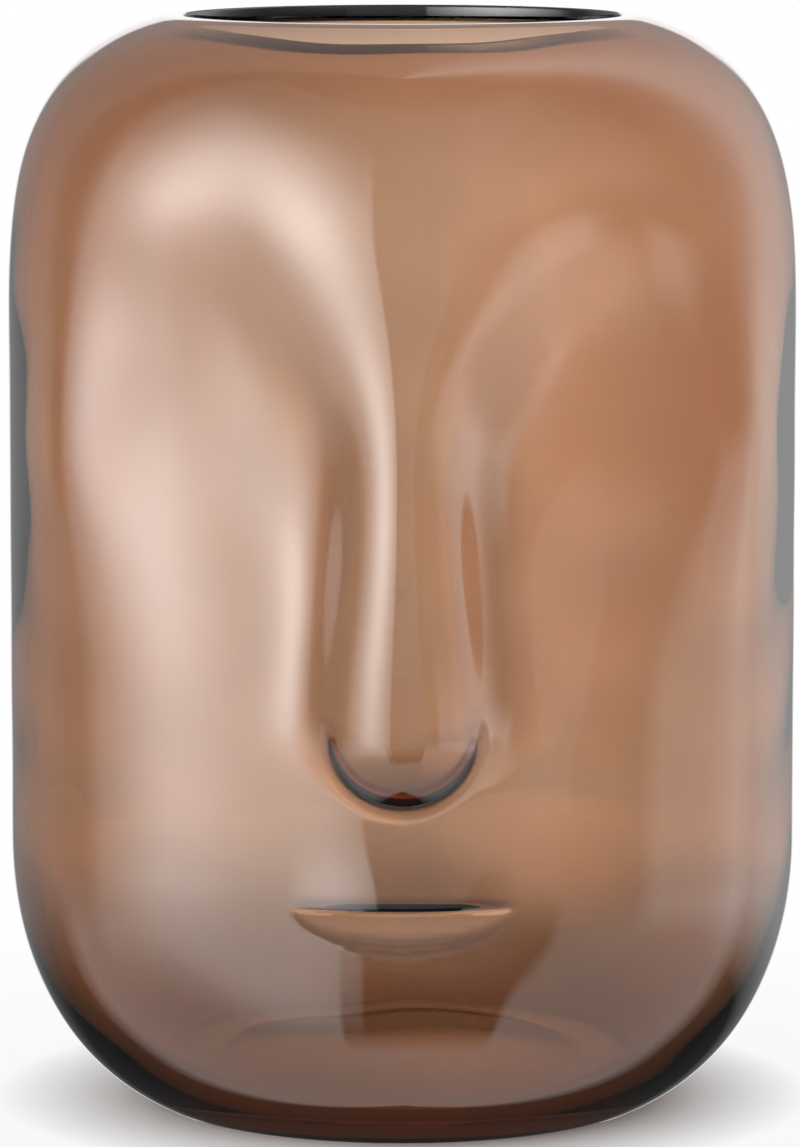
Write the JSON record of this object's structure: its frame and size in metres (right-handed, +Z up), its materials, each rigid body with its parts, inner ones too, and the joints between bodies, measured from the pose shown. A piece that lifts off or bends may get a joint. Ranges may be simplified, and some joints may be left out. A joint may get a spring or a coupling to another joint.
{
  "type": "face vase",
  "caption": "Smoke-brown glass flower vase, a rounded upright cylinder with a stylised long-nosed face pressed into its front and an open round mouth.",
  "frame": {"origin": "centre of the flat ring that the vase stands on, at table level", "axes": "+Z up through the middle of the mouth, the face looks along -Y, +X is on the viewer's right when facing it"},
  "size_m": [0.1604, 0.1676, 0.2215],
  "materials": {
    "smoke_glass": "polished"
  },
  "bodies": {
    "root": {"vase_body": "smoke_glass"}
  },
  "joints": []
}
